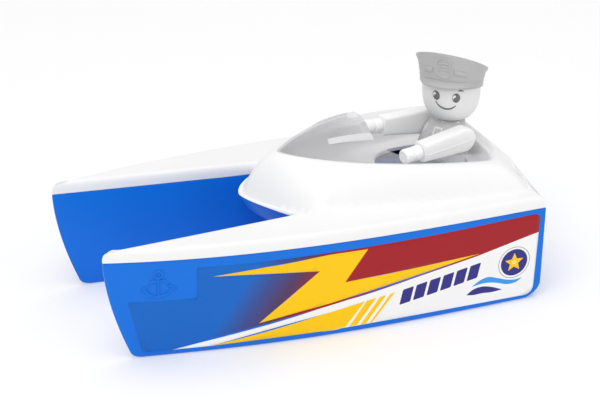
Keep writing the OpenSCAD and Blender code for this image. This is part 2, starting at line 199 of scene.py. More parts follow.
def catmull(points, steps):
    """Smooth curve through points."""
    pts = [np.array(p, float) for p in points]
    pts = [2 * pts[0] - pts[1]] + pts + [2 * pts[-1] - pts[-2]]
    out = []
    for i in range(1, len(pts) - 2):
        a, b, c, d = pts[i - 1:i + 3]
        for s in range(steps):
            t = s / steps
            out.append(0.5 * (2 * b + (c - a) * t + (2 * a - 5 * b + 4 * c - d) * t ** 2
                              + (3 * b - a - 3 * c + d) * t ** 3))
    out.append(pts[-2])
    return out


def inside(pt, poly):
    x, y = pt
    hit = False
    j = len(poly) - 1
    for i in range(len(poly)):
        (xi, yi), (xj, yj) = poly[i], poly[j]
        if (yi > y) != (yj > y) and x < (xj - xi) * (y - yi) / (yj - yi) + xi:
            hit = not hit
        j = i
    return hit


def tile(outline, layers, step, holes=()):
    """Triangles over a flat outline, cut along every layer's edge: points, triangles and each one's layer."""
    points, edges = [], []
    for poly in [outline, *holes, *[p for _, p in layers]]:
        base = len(points)
        points += [Vector((float(p[0]), float(p[1]))) for p in poly]
        edges += [(base + i, base + (i + 1) % len(poly)) for i in range(len(poly))]
    xs, ys = [p[0] for p in outline], [p[1] for p in outline]
    for ix in range(int((max(xs) - min(xs)) / step[0]) + 1):
        for iy in range(int((max(ys) - min(ys)) / step[1]) + 1):
            p = (min(xs) + step[0] * (ix + 0.5), min(ys) + step[1] * (iy + 0.5 * (ix % 2) + 0.25))
            if inside(p, outline) and not any(inside(p, h) for h in holes):
                points.append(Vector(p))
    verts, _, tris, *_ = delaunay_2d_cdt(points, edges, [], 0, 1e-5)
    keep, kinds = [], []
    for t in tris:
        c = (sum(verts[i][0] for i in t) / len(t), sum(verts[i][1] for i in t) / len(t))
        if not inside(c, outline) or any(inside(c, h) for h in holes):
            continue
        kind = 0
        for k, poly in layers:
            if inside(c, poly):
                kind = k
        keep.append(tuple(t))
        kinds.append(kind)
    used = sorted({i for t in keep for i in t})
    index = {old: new for new, old in enumerate(used)}
    return [tuple(verts[i]) for i in used], [tuple(index[i] for i in t) for t in keep], kinds


def decal(name, outline, layers, mapping, step, body, slot_name, materials, node=None, thickness=0.12):
    """Thin printed film whose printed shapes are cut into its mesh."""
    verts, tris, kinds = tile(outline, layers, step)
    obj = new_object(name, [mapping(*v) for v in verts], tris, body, slot_name, materials, node, 180)
    for poly, kind in zip(obj.data.polygons, kinds):
        poly.material_index = kind
    mod = obj.modifiers.new("film", "SOLIDIFY")
    mod.thickness = thickness / 1000
    mod.offset = -1
    return obj


def rounded(points, radius, steps=5):
    """Polygon with its corners cut by arcs. radius is one number, or one for each corner."""
    out = []
    n = len(points)
    for i in range(n):
        r = radius[i] if isinstance(radius, (list, tuple)) else radius
        p, a, b = (np.array(points[k % n], float) for k in (i, i - 1, i + 1))
        if r <= 0:
            out.append(tuple(p))
            continue
        u, v = (a - p) / np.linalg.norm(a - p), (b - p) / np.linalg.norm(b - p)
        for s in range(steps + 1):
            t = s / steps
            out.append(tuple(p + u * r * (1 - t) ** 2 + v * r * t ** 2))
    return out


# ---------------------------------------------------------------- materials

def nodes_of(name):
    m = bpy.data.materials.new(name)
    m.use_nodes = True
    nt = m.node_tree
    return m, nt, nt.nodes["Principled BSDF"]


def noise(nt, coords, scale, detail=3.0):
    n = nt.nodes.new("ShaderNodeTexNoise")
    n.inputs["Scale"].default_value = scale
    n.inputs["Detail"].default_value = detail
    nt.links.new(coords, n.inputs["Vector"])
    return n.outputs["Fac"]


def ramp(nt, fac, stops):
    r = nt.nodes.new("ShaderNodeValToRGB")
    while len(r.color_ramp.elements) < len(stops):
        r.color_ramp.elements.new(0.5)
    for e, (pos, colour) in zip(r.color_ramp.elements, stops):
        e.position = pos
        e.color = (*colour, 1)
    nt.links.new(fac, r.inputs["Fac"])
    return r.outputs["Color"]


def plastic(name, colour, roughness=0.32, mottle=0.03, grain=0.02, sheen=0.5):
    """Moulded plastic: faint flow mottling, fine surface grain and uneven gloss."""
    m, nt, b = nodes_of(name)
    coords = nt.nodes.new("ShaderNodeTexCoord").outputs["Object"]
    dark = tuple(c * (1 - mottle) for c in colour)
    light = tuple(min(1, c * (1 + mottle)) for c in colour)
    nt.links.new(ramp(nt, noise(nt, coords, 28), [(0.3, dark), (0.7, light)]), b.inputs["Base Color"])
    gloss = nt.nodes.new("ShaderNodeMapRange")
    gloss.inputs["To Min"].default_value = roughness * 0.85
    gloss.inputs["To Max"].default_value = roughness * 1.15
    nt.links.new(noise(nt, coords, 60), gloss.inputs["Value"])
    nt.links.new(gloss.outputs["Result"], b.inputs["Roughness"])
    bump = nt.nodes.new("ShaderNodeBump")
    bump.inputs["Strength"].default_value = grain
    bump.inputs["Distance"].default_value = 0.0004
    nt.links.new(noise(nt, coords, 900, 2), bump.inputs["Height"])
    nt.links.new(bump.outputs["Normal"], b.inputs["Normal"])
    b.inputs["IOR"].default_value = 1.49
    b.inputs["Specular IOR Level"].default_value = sheen
    return m


def fade_print(name):
    """Sticker ground: blue at the bow, turning through violet to red along a slanted line."""
    m, nt, b = nodes_of(name)
    coords = nt.nodes.new("ShaderNodeTexCoord").outputs["Object"]
    split = nt.nodes.new("ShaderNodeSeparateXYZ")
    nt.links.new(coords, split.inputs["Vector"])
    slant = nt.nodes.new("ShaderNodeMath")
    slant.operation = "MULTIPLY_ADD"
    slant.inputs[1].default_value = 0.6
    nt.links.new(split.outputs["Z"], slant.inputs[0])
    nt.links.new(split.outputs["X"], slant.inputs[2])
    span = nt.nodes.new("ShaderNodeMapRange")
    span.inputs["From Min"].default_value = 0.030
    span.inputs["From Max"].default_value = 0.080
    nt.links.new(slant.outputs["Value"], span.inputs["Value"])
    stops = [(0.0, RED), (0.12, (0.22, 0.025, 0.05)), (0.34, (0.09, 0.045, 0.12)),
             (0.62, (0.045, 0.08, 0.3)), (0.9, STICKER_BLUE)]
    nt.links.new(ramp(nt, span.outputs["Result"], stops), b.inputs["Base Color"])
    bump = nt.nodes.new("ShaderNodeBump")
    bump.inputs["Strength"].default_value = 0.015
    bump.inputs["Distance"].default_value = 0.0003
    nt.links.new(noise(nt, coords, 500, 2), bump.inputs["Height"])
    nt.links.new(bump.outputs["Normal"], b.inputs["Normal"])
    b.inputs["Roughness"].default_value = 0.3
    b.inputs["Specular IOR Level"].default_value = 0.2
    return m


def smoked_clear(name, smoke, pale, cover):
    """Clear moulding: glossy, with faint flow lines, smoked at the front and paler round the cockpit."""
    m, nt, b = nodes_of(name)
    coords = nt.nodes.new("ShaderNodeTexCoord").outputs["Object"]
    split = nt.nodes.new("ShaderNodeSeparateXYZ")
    nt.links.new(coords, split.inputs["Vector"])
    flow = nt.nodes.new("ShaderNodeMath")
    flow.operation = "MULTIPLY_ADD"
    flow.inputs[1].default_value = 0.012
    nt.links.new(noise(nt, coords, 22), flow.inputs[0])
    nt.links.new(split.outputs["X"], flow.inputs[2])
    for socket, low, high in (("Base Color", 0.0, 1.0), ("Alpha", cover * 0.5, cover)):
        span = nt.nodes.new("ShaderNodeMapRange")
        span.inputs["From Min"].default_value = -0.052
        span.inputs["From Max"].default_value = -0.016
        span.inputs["To Min"].default_value = low
        span.inputs["To Max"].default_value = high
        nt.links.new(flow.outputs["Value"], span.inputs["Value"])
        colour = socket == "Base Color"
        result = span.outputs["Result"]
        nt.links.new(ramp(nt, result, [(0.0, pale), (1.0, smoke)]) if colour else result, b.inputs[socket])
    b.inputs["Roughness"].default_value = 0.1
    b.inputs["IOR"].default_value = 1.45
    bump = nt.nodes.new("ShaderNodeBump")
    bump.inputs["Strength"].default_value = 0.05
    bump.inputs["Distance"].default_value = 0.0005
    nt.links.new(noise(nt, coords, 70, 2), bump.inputs["Height"])
    nt.links.new(bump.outputs["Normal"], b.inputs["Normal"])
    return m


def steel(name):
    m, nt, b = nodes_of(name)
    coords = nt.nodes.new("ShaderNodeTexCoord").outputs["Object"]
    nt.links.new(ramp(nt, noise(nt, coords, 800), [(0.3, (0.5, 0.5, 0.5)), (0.7, (0.66, 0.66, 0.65))]),
                 b.inputs["Base Color"])
    b.inputs["Metallic"].default_value = 1.0
    b.inputs["Roughness"].default_value = 0.32
    return m


BLUE = (0.004, 0.172, 0.74)
STICKER_BLUE = (0.006, 0.14, 0.57)
RED = (0.37, 0.014, 0.02)
YELLOW = (1.0, 0.60, 0.004)
INDIGO = (0.038, 0.034, 0.235)
LIGHT_BLUE = (0.047, 0.33, 0.87)
WHITE = (0.9, 0.9, 0.9)

MAT = {
    "blue": plastic("blue_plastic", BLUE, 0.34, sheen=0.22),
    "white": plastic("white_plastic", WHITE, 0.36, 0.01),
    "clear": smoked_clear("smoked_clear", (0.46, 0.445, 0.465), (0.74, 0.74, 0.79), 0.32),
    # The ledge clear is near white and denser than the screen: a painted highlight standing for the light caught
    # along the crease flanges.
    "edge": smoked_clear("clear_edge_painted_highlight", (0.9, 0.89, 0.9), (0.9, 0.9, 0.92), 0.62),
    "steel": steel("zinc_steel"),
    "grey": plastic("grey_plastic", (0.475, 0.475, 0.48), 0.45, 0.02, 0.05),
    "torso": plastic("torso_grey", (0.6, 0.6, 0.605), 0.45, 0.02, 0.05),
    "dark": plastic("dark_plastic", (0.12, 0.125, 0.15), 0.45, 0.04, 0.05),
    "pale": plastic("pale_plastic", (0.82, 0.82, 0.82), 0.42, 0.015, 0.03),
    "arm": plastic("arm_plastic", (0.97, 0.97, 0.97), 0.42, 0.015, 0.03),
    "fade": fade_print("print_fade"),
    "print_white": plastic("print_white", (0.93, 0.93, 0.93), 0.3, 0.01),
    "print_yellow": plastic("print_yellow", YELLOW, 0.3, 0.02, sheen=0.2),
    "print_indigo": plastic("print_indigo", INDIGO, 0.3, 0.03, sheen=0.2),
    "print_light_blue": plastic("print_light_blue", LIGHT_BLUE, 0.3, 0.03, sheen=0.2),
    "print_grey": plastic("print_grey", (0.35, 0.36, 0.38), 0.3, 0.03),
    "ink": plastic("face_ink", (0.17, 0.17, 0.175), 0.4, 0.03),
    "ink_white": plastic("face_white", (0.95, 0.95, 0.95), 0.35, 0.01),
}

# ---------------------------------------------------------------- blue lower hull

STATIONS = 64


def float_rail(t, inset, outer):
    """Rail along one side of the port float at height share t, from stern to bow."""
    x0 = inset + 9 * (1 - min(1.0, 6 * t)) ** 2
    x1 = LENGTH - rake(t) - TIP_SETBACK * inset
    out = []
    for i in range(STATIONS + 1):
        x = x0 + (x1 - x0) * (1 - (1 - i / STATIONS) ** 1.4)
        if outer:
            y = outer_y(reach(x, t)) - draft(x, t) - inset
        else:
            y = inner_y(reach(x, t)) + inset
        out.append((x, y))
    return out


def float_ring(t, inset, z=None, least=0.0):
    outer, inner = float_rail(t, inset, True), float_rail(t, inset, False)
    ring = []
    for x, y in outer + inner[::-1]:
        ring.append((x, y, max(least, (t * side_z(x)) if z is None else z)))
    return ring


def hull_float():
    shares = [(0, 1.6), (0.006, 0.9), (0.018, 0.4), (0.035, 0.12)]
    shares += [(t, 0) for t in (0.06, 0.1, 0.15, 0.22, 0.3, 0.4, 0.5, 0.6, 0.7, 0.8, 0.9, 0.98)]
    shares += [(0.995, 0.12), (1, 0.4), (1, 2), (0.4, 2), (0.04, 3)]
    last = len(shares) - 1
    return skin([float_ring(t, d, least=2.0 if k == last else 0.0) for k, (t, d) in enumerate(shares)])


def pod_ring(back, z_front, z_side, inset):
    """Across the tunnel: the nose edge from port to starboard, then the line of the float walls at the stern."""
    half = 38.0
    steps = 40
    front, rear = [], []
    for i in range(steps + 1):
        y = half * math.cos(math.pi * i / steps)
        reach_y = min(1.0, abs(y) / half)
        x = nose_x(y) - back - inset
        edge = inner_y(x) + 0.6
        front.append((x, y * edge / half, mix(z_front, z_side, reach_y ** 2)))
        rear.append((inset, y * (inner_y(inset) + 0.6) / half, z_side))
    return front + rear[::-1]


def pod():
    rings = [(17, 46, 46, 1), (13.5, 46.4, 46, 0.4), (11, 48.5, 47, 0.2), (8, 51, 48.5, 0), (5, 54, 50, 0),
             (2.6, 58, 53, 0), (1, 62, 56.1, 0),
             (1.2, 62.4, 56.4, 0.3), (3, 62.6, 56.5, 2), (13, 48, 48, 2)]
    return skin([pod_ring(*r) for r in rings])


new_object("hull_moulding", *join(hull_float(), mirrored(hull_float()), pod()), "boat", "blue_plastic",
           MAT["blue"], ["port_float", "starboard_float", "tunnel_roof"], 42)


def raised_line(name, points, half_width, height, mapping, body, slot_name, material):
    """Low rounded bead laid along a curve on a surface."""
    path = [np.array(p, float) for p in points]
    rows = []
    profile = [(-1, -0.2), (-0.85, 0.5), (-0.45, 0.92), (0, 1), (0.45, 0.92), (0.85, 0.5), (1, -0.2)]
    for i, p in enumerate(path):
        d = path[min(i + 1, len(path) - 1)] - path[max(i - 1, 0)]
        side = np.array((-d[1], d[0])) / max(1e-9, np.linalg.norm(d))
        end = 0.75 if i in (0, len(path) - 1) else 1.0
        rows.append([mapping(*(p + side * half_width * u * end), height * h * end) for u, h in profile])
    verts = [v for r in rows for v in r]
    n = len(profile)
    faces = ring_faces(len(rows), n, closed=False)
    faces += [tuple(range(n)), tuple(reversed(range((len(rows) - 1) * n, len(rows) * n)))]
    return new_object(name, verts, faces, body, slot_name, material)


def port_side(x, z, proud=0.0):
    return hull_point(x, z, proud)


def starboard_side(x, z, proud=0.0):
    x, y, z = hull_point(x, z, proud)
    return (x, -y, z)


def anchor(side, mapping):
    """Plain raised anchor on the bow."""
    cx, cz = 222.0, 44.0
    ring = [(cx + 2.1 * math.cos(a), cz + 6.6 + 2.1 * math.sin(a)) for a in np.linspace(0, 2 * math.pi, 21)]
    fluke = [(cx + 7.6 * math.sin(a), cz + 1.0 - 7.6 * math.cos(a)) for a in np.linspace(-1.25, 1.25, 21)]
    strokes = {
        "ring": ring,
        "shank": [(cx, cz + 4.5 - 11 * i / 8) for i in range(9)],
        "stock": [(cx - 4.2 + 8.4 * i / 8, cz + 2.8) for i in range(9)],
        "fluke": fluke,
        "barb_fore": [(cx + 4.6, cz + 0.2), (cx + 7.2, cz - 0.9), (cx + 9.4, cz - 3.2)],
        "barb_aft": [(cx - 4.6, cz + 0.2), (cx - 7.2, cz - 0.9), (cx - 9.4, cz - 3.2)],
    }
    for stroke, points in strokes.items():
        raised_line(f"{side}_anchor_{stroke}", points, 0.8, 0.75, mapping, "boat", "blue_plastic",
                    MAT["blue"])


anchor("port", port_side)
anchor("starboard", starboard_side)

# ---------------------------------------------------------------- white deck

EDGE = [(2.6, 0.0), (1.6, 0.3), (0.9, 0.9), (0.35, 1.8), (0.08, 3.1), (0.0, 4.6)]


def float_edge(inset, count=120):
    """Deck edge of the port float: along the outside to the bow, and back along the inside to the nose."""
    outer, inner = [], []
    x_tip = LENGTH - inset * 2.2
    for i in range(count + 1):
        x = inset + (x_tip - inset) * (1 - (1 - i / count) ** 1.5)
        outer.append((x, outer_y(x) - inset))
    x_join = 133.0
    for i in range(count // 2 + 1):
        x = x_tip - (x_tip - x_join) * (i / (count // 2)) ** 1.3
        inner.append((x, inner_y(x) + inset))
    return outer, inner


def nose_edge(inset, count=40):
    """Front edge of the cabin between the floats, from port to starboard."""
    out = []
    for i in range(count + 1):
        u = math.cos(math.pi * i / count)
        y = u * 34.0
        out.append((nose_x(y) - inset, y))
    return out


def fillet(a, b, c, steps=8):
    """Curve from a to c that leaves and arrives along the lines to b."""
    out = []
    for i in range(1, steps):
        t = i / steps
        out.append(tuple((1 - t) ** 2 * np.array(a) + 2 * t * (1 - t) * np.array(b) + t * t * np.array(c)))
    return out


def deck_outline(inset):
    outer, inner = float_edge(inset)
    nose = nose_edge(inset)
    corner = (128.5 - inset * 0.3, inner_y(128) + inset)
    port = outer + inner + fillet(inner[-1], corner, nose[0])
    return port + nose + [(x, -y) for x, y in port[::-1]]


def parting_z(x, y):
    """Height of the deck's lower edge: gunwale on the floats, arched over the nose, level at the transom."""
    on_float = smooth(33.0, 39.0, abs(y) - max(0.0, (x - 130) * 0.02))
    nose = 62.7 - 5.7 * min(1.0, abs(y) / 38) ** 2
    if x < 100:
        return side_z(x) + 0.1
    return float(mix(nose, side_z(x) + 0.1, on_float))


CENTRE = np.array((70.0, 0.0))


def rim_loop(count=160, inset=0.0):
    """Cockpit rim, from the front middle round to port, the stern and starboard."""
    half = []
    for i in range(count // 4 + 1):
        u = (i / (count // 4)) ** 1.6
        x = RIM_FRONT - u * (RIM_FRONT - RIM_CORNER)
        half.append((x, rim_y(x)))
    for i in range(1, count // 4 + 1):
        a = math.pi / 2 * i / (count // 4)
        half.append((RIM_CORNER - 14 * math.sin(a) ** (2 / 3),
                     RIM_HALF * abs(math.cos(a)) ** (2 / 3) if i < count // 4 else 0.0))
    loop = half + [(x, -y) for x, y in half[-2:0:-1]]
    if not inset:
        return loop
    out = []
    n = len(loop)
    for i in range(n):
        d = np.array(loop[(i + 1) % n]) - np.array(loop[i - 1])
        normal = np.array((-d[1], d[0])) / np.linalg.norm(d)
        if np.dot(normal, CENTRE - np.array(loop[i])) < 0:
            normal = -normal
        out.append(tuple(np.array(loop[i]) + normal * inset))
    return out


def foot_loop():
    """Where the cabin meets the deck: nose edge, the float decks, the transom."""
    out = []
    for i in range(25):
        y = 35.0 * math.sin(math.pi / 2 * i / 24)
        out.append((nose_x(y) - 2.6, y))
    for i in range(1, 41):
        x = 126 - 121 * i / 40
        out.append((x, cabin_y(x)))
    out += [(2.6, 52.0), (2.6, 40.0), (2.6, 20.0), (2.6, 0.0)]
    return out + [(x, -y) for x, y in out[-2:0:-1]]


RIM, FOOT = rim_loop(), foot_loop()


def polar(loop):
    angles = np.array([math.atan2(p[1] - CENTRE[1], p[0] - CENTRE[0]) for p in loop])
    radii = np.array([math.hypot(p[0] - CENTRE[0], p[1] - CENTRE[1]) for p in loop])
    order = np.argsort(angles)
    a, r = angles[order], radii[order]
    return np.concatenate((a - 2 * math.pi, a, a + 2 * math.pi)), np.concatenate((r, r, r))


RIM_POLAR, FOOT_POLAR = polar(RIM), polar(FOOT)
TRANSOM_TOP = ([0, 28, 32, 36, 41, 50, 58, 70], [71.7, 71.3, 70.6, 68.6, 66.8, 65.0, 62.8, 60.0])


def cabin_height(x, y):
    d = np.array((x, y)) - CENTRE
    angle, r = math.atan2(d[1], d[0]), math.hypot(*d)
    r_rim = float(np.interp(angle, *RIM_POLAR))
    r_foot = float(np.interp(angle, *FOOT_POLAR))
    f = (r_foot - r) / max(1.0, r_foot - r_rim)
    top = rim_z(x if r <= r_rim else CENTRE[0] + d[0] * r_rim / r)
    aft = float(smooth(2.45, 2.75, abs(angle)))
    front = float(1 - smooth(0.35, 0.62, abs(angle)))
    side_foot = mix(61.6, 62.9 - 2.9 * min(1, abs(y) / 35) ** 2, front)
    curved = side_foot + (top - side_foot) * (1 - max(0.0, 1 - f) ** 1.85 if f > 0 else f * 1.85)
    transom = float(np.interp(abs(y), *TRANSOM_TOP))
    back = transom + (top - transom) * (f if f < 1 else 1)
    return mix(curved, back, aft)


def deck_height(x, y):
    deck = side_z(x) + DECK_RISE
    cabin = cabin_height(x, y)
    if abs(y) < inner_y(x) and x > 100:
        deck = min(deck, cabin)
    k = 2.2
    h = min(1.0, max(0.0, 0.5 + 0.5 * (cabin - deck) / k))
    return mix(deck, cabin, h) + k * h * (1 - h) * 0.5


def deck():
    outlines = [deck_outline(inset) for inset, _ in EDGE]
    top_ring = outlines[0]
    cut = rim_loop(200)
    top_verts, tris, _ = tile(top_ring, [], (2.0, 2.0), [cut])
    parts = [([(x, y, deck_height(x, y)) for x, y in top_verts], tris)]
    rings = []
    for (inset, drop), outline in zip(EDGE, outlines):
        ring = []
        for (x, y), (xt, yt) in zip(outline, top_ring):
            top = deck_height(xt, yt)
            low = parting_z(x, y)
            share = drop / EDGE[-1][1]
            ring.append((x, y, top - share * (top - low)))
        rings.append(ring)
    low = rings[-1]
    tuck = [(mix(x, CENTRE[0], 0.012), mix(y, 0, 0.012) if abs(y) < 30 else y, z + 0.4) for x, y, z in low]
    rings.append(tuck)
    verts = [p for r in rings for p in r]
    parts.append((verts, ring_faces(len(rings), len(low))))
    rim = [[(x, y, deck_height(x, y)) for x, y in cut]]
    rim.append([(x, y, rim_z(x) + 0.15) for x, y in rim_loop(200, 0.5)])
    rim.append([(x, y, rim_z(x)) for x, y in rim_loop(200, 1.2)])
    rim.append([(x, y, rim_z(x) - 0.1) for x, y in rim_loop(200, 2.4)])
    rim.append([(x, y, rim_z(x) - 0.6) for x, y in rim_loop(200, 2.9)])
    for share in (0.1, 0.3, 0.5, 0.7, 0.86):
        rim.append([(x, y, mix(rim_z(x) - 0.6, FLOOR, share)) for x, y in rim_loop(200, 3 + share * 1.5)])
    rim.append([(x, y, FLOOR + 0.6) for x, y in rim_loop(200, 5.0)])
    rim.append([(x, y, FLOOR) for x, y in rim_loop(200, 6.2)])
    n = len(cut)
    well = []
    for x, y in cut:
        a = math.atan2(y / WELL_WIDE, (x - WELL_MID) / WELL_LONG)
        well.append((WELL_MID + WELL_LONG * bowed(math.cos(a), WELL_POWER),
                     WELL_WIDE * bowed(math.sin(a), WELL_POWER)))
    inner = rim[-1]
    for share in (0.5, 0.97):
        rim.append([(mix(p[0], w[0], share), mix(p[1], w[1], share), FLOOR) for p, w in zip(inner, well)])
    rim.append([(w[0], w[1], FLOOR - 0.5) for w in well])
    rim.append([(w[0], w[1], FLOOR - 2.0) for w in well])
    rim.append([(mix(WELL_MID, w[0], 1.03), w[1] * 1.03, FLOOR - 2.0) for w in well])
    parts.append(([p for r in rim for p in r], ring_faces(len(rim), n)))
    return join(*parts)


new_object("deck_moulding", *deck(), "boat", "white_plastic", MAT["white"], ["upper_deck", "cockpit_tub"], 50)

# ---------------------------------------------------------------- windscreen

CREASE_WIDTH, CREASE_HEIGHT = 0.606, 0.643


def crown_z(x):
    share = min(1.0, (RIM_FRONT - x) / (RIM_FRONT - SCREEN_BACK))
    return mix(rim_z(RIM_FRONT), CROWN, math.sin(math.radians(90 * share)) ** 0.85)


def coaming_top(x):
    return COAMING + 9 * max(0.0, (x - 72) / 16) ** 1.8


def side_point(x, s):
    """Side of the screen at share s of the way from the rim to the crease."""
    y, z0 = rim_y(x) - 0.4, rim_z(x) + 0.1
    rise = crown_z(x) - z0
    return (x, y * mix(1, CREASE_WIDTH, s), z0 + rise * CREASE_HEIGHT * (1 - (1 - s) ** 1.1))


def roof_point(x, u):
    """Roof of the screen at u, from 1 at the port crease to -1 at the starboard one."""
    y, z0 = rim_y(x) - 0.4, rim_z(x) + 0.1
    rise = crown_z(x) - z0
    return (x, y * CREASE_WIDTH * u, z0 + rise * (1 - (1 - CREASE_HEIGHT) * u * u))


def rim_stations():
    """Along the port rim from the front to the middle of the stern."""
    out = [RIM_FRONT - 0.8 - (RIM_FRONT - 0.8 - SCREEN_BACK) * (i / 22) ** 1.3 for i in range(23)]
    return out + [SCREEN_BACK - (SCREEN_BACK - RIM_CORNER) * i / 30 for i in range(1, 31)]


def coaming_row(x, y, height, count):
    lean = 0.13
    d = np.array((x, y)) - CENTRE
    rows = []
    for s in np.linspace(0, 1, count):
        inset = 0.4 + lean * height * s
        k = 1 - inset / np.linalg.norm(d)
        rows.append((CENTRE[0] + d[0] * k, d[1] * k, rim_z(x) + 0.1 + height * s))
    return rows


def screen():
    count = 9
    port = []
    for x in rim_stations():
        whole = crown_z(max(x, SCREEN_BACK)) - rim_z(x) - 0.1
        height = coaming_top(x)
        if x >= SCREEN_BACK:
            port.append([side_point(x, s) for s in np.linspace(0, 1, count)])
        else:
            full = whole * CREASE_HEIGHT
            share = min(1.0, height / full)
            low = coaming_row(x, rim_y(x), height, count)
            wall = [(x, (rim_y(x) - 0.4) * mix(1, CREASE_WIDTH, s),
                     rim_z(x) + 0.1 + full * s) for s in np.linspace(0, share, count)]
            blend = float(smooth(66, 80, x))
            port.append([tuple(mix(np.array(a), np.array(b), blend)) for a, b in zip(low, wall)])
    for i in range(1, 15):
        a = math.pi / 2 * i / 14
        port.append(coaming_row(RIM_CORNER - 14 * math.sin(a) ** (2 / 3),
                                RIM_HALF * abs(math.cos(a)) ** (2 / 3) if i < 14 else 0.0, COAMING, count))
    band = port + [[(x, -y, z) for x, y, z in row] for row in port[-2::-1]]
    parts = [([p for r in band for p in r], ring_faces(len(band), count, closed=False))]
    roof = [[roof_point(x, u) for u in np.linspace(1, -1, 19)] for x in rim_stations()[:23]]
    parts.append(([p for r in roof for p in r], ring_faces(len(roof), 19, closed=False)))
    side = [side_point(RIM_FRONT - 0.8, s) for s in np.linspace(0, 1, count)]
    nose = side + [roof_point(RIM_FRONT - 0.8, u) for u in np.linspace(1, -1, 19)][1:]
    nose += [(x, -y, z) for x, y, z in side[-2::-1]]
    tip = [(RIM_FRONT - 0.2, 0.0, rim_z(RIM_FRONT) + 0.1)]
    parts.append((nose + tip, [(i, i + 1, len(nose)) for i in range(len(nose) - 1)]))
    return join(*parts)


glass = new_object("screen_moulding", *screen(), "boat", "smoked_clear", MAT["clear"], "windscreen", 18)
shell = glass.modifiers.new("glass_wall", "SOLIDIFY")
shell.thickness = GLASS / 1000
shell.offset = -1
shell.use_even_offset = True
bevel(glass, 0.25, 2, 50)


def ledge(side):
    """Raised flange that runs along the crease to the cut edge."""
    rows = []
    for i in range(19):
        x = 108 - (108 - SCREEN_BACK - 0.2) * i / 18
        grow = min(1.0, i / 5)
        base, above = np.array(side_point(x, 0.86)), np.array(roof_point(x, 0.86))
        crest = np.array(side_point(x, 1.0))
        out = np.array((0, 0.8, 0.6)) * 1.0 * grow
        rows.append([base, base + out * 0.7, mix(base, crest, 0.55) + out * 1.15, crest + out,
                     mix(crest, above, 0.5) + out * 0.75, above])
    rows = [[(p[0], side * p[1], p[2]) for p in r] for r in rows]
    verts = [p for r in rows for p in r]
    n = 6
    faces = ring_faces(len(rows), n)
    faces += [tuple(range(n)), tuple(range((len(rows) - 1) * n, len(rows) * n))]
    name = "port_ledge" if side > 0 else "starboard_ledge"
    # Near-white, denser clear on the ledge: a painted highlight along the crease.
    bevel(new_object(name, verts, faces, "boat", "smoked_clear", MAT["edge"], None, 30), 0.2, 2, 40)


ledge(1)
ledge(-1)

# ---------------------------------------------------------------- stickers

STICKER = rounded(
    [(3.2, 53.6), (201.8, 52.8), (201.8, 34.2), (237.6, 34.8), (230.6, 3.6), (4.6, 2.9)],
    [4, 0.5, 1.2, 0.6, 2.5, 6])
BOLT = [(193.3, 46.6), (129.3, 50.9), (107.5, 50.7), (120.1, 32.4), (40, 35.3), (128.3, 20.7), (168, 14.4),
        (134.7, 41.7)]
UNDER_STRIPE = [(210, 0.6), (128.2, 15.0), (108, 18.4), (119.1, 4.0), (126, 3.6), (150, -2), (210, -2)]
WHITE_FIELD = [(222, 2.2), (128.3, 19.3), (41, 34.1), (-5, 43.9), (-5, -3), (222, -3)]


def circle(cx, cz, r, count=40):
    return [(cx + r * math.cos(2 * math.pi * i / count),
             cz + r * math.sin(2 * math.pi * i / count)) for i in range(count)]


def star(cx, cz, outer, inner, points=5):
    out = []
    for i in range(2 * points):
        a = math.pi / 2 + math.pi * i / points
        r = outer if i % 2 == 0 else inner
        out.append((cx + r * math.cos(a), cz + r * math.sin(a)))
    return out


def stripe_z(x):
    """Top of the short yellow stripes."""
    return 18.5 + (108 - x) * 0.13


def sticker_layers():
    """Kinds: 0 fade, 1 white, 2 yellow, 3 indigo, 4 light blue, 5 grey."""
    layers = [(1, WHITE_FIELD), (2, UNDER_STRIPE), (2, BOLT)]
    for fore_top, aft_top, fore_foot, aft_foot in ((107.1, 101.4, 116.8, 112.3), (99.3, 95.6, 110.2, 107.0),
                                                   (93.1, 90.5, 104.9, 103.3)):
        layers.append((2, [(fore_top, stripe_z(fore_top)), (aft_top, stripe_z(aft_top)), (aft_foot, 4.1),
                           (fore_foot, 4.0)]))
    for i in range(6):
        x = 87.6 - i * 8.1
        z = 12.2 + (87.7 - x) * 0.172
        rise = 6.5 * 0.172
        block = [(x, z), (x - 1.9, z + 9.3), (x - 8.4, z + 9.3 + rise), (x - 6.5, z + rise)]
        layers.append((3, rounded(block, 0.8, 3)))
    cx, cz = 17.8, 25.5
    layers += [(5, circle(cx, cz, 9.9)), (1, circle(cx, cz, 9.45)), (3, circle(cx, cz, 8.3)),
               (2, star(cx, cz, 6.0, 2.7)),
               (1, circle(cx, cz, 1.1, 16)), (2, circle(cx, cz, 0.7, 12))]
    crest = catmull([(43.9, 14.8), (39, 18.0), (33.5, 19.3), (27.5, 17.4), (21.5, 15.2), (16.5, 14.4),
                     (11.9, 14.9)], 4)
    trough = catmull([(11.9, 14.9), (16, 12.5), (21.5, 12.3), (27.5, 14.3), (33, 15.6), (38.5, 15.7),
                      (43.9, 14.8)], 4)
    layers.append((4, [tuple(p) for p in crest[:-1] + trough[:-1]]))
    top = catmull([(46.8, 10.3), (42.3, 13.2), (36.5, 13.9), (30, 12.1), (24.2, 9.5)], 4)
    foot = catmull([(24.2, 9.5), (31, 9.1), (37, 9.6), (42, 9.5), (46.8, 10.3)], 4)
    layers.append((3, [tuple(p) for p in top[:-1] + foot[:-1]]))
    return layers


PRINTS = [MAT[k] for k in ("fade", "print_white", "print_yellow", "print_indigo", "print_light_blue",
                           "print_grey")]
decal("port_print", STICKER, sticker_layers(), lambda x, z: port_side(x, z, 0.24), (4.0, 4.0), "boat",
      "sticker_print", PRINTS,
      "port_sticker", 0.16)
decal("starboard_print", STICKER, sticker_layers(), lambda x, z: starboard_side(x, z, 0.24), (4.0, 4.0),
      "boat", "sticker_print",
      PRINTS, "starboard_sticker", 0.16)

# ---------------------------------------------------------------- driver

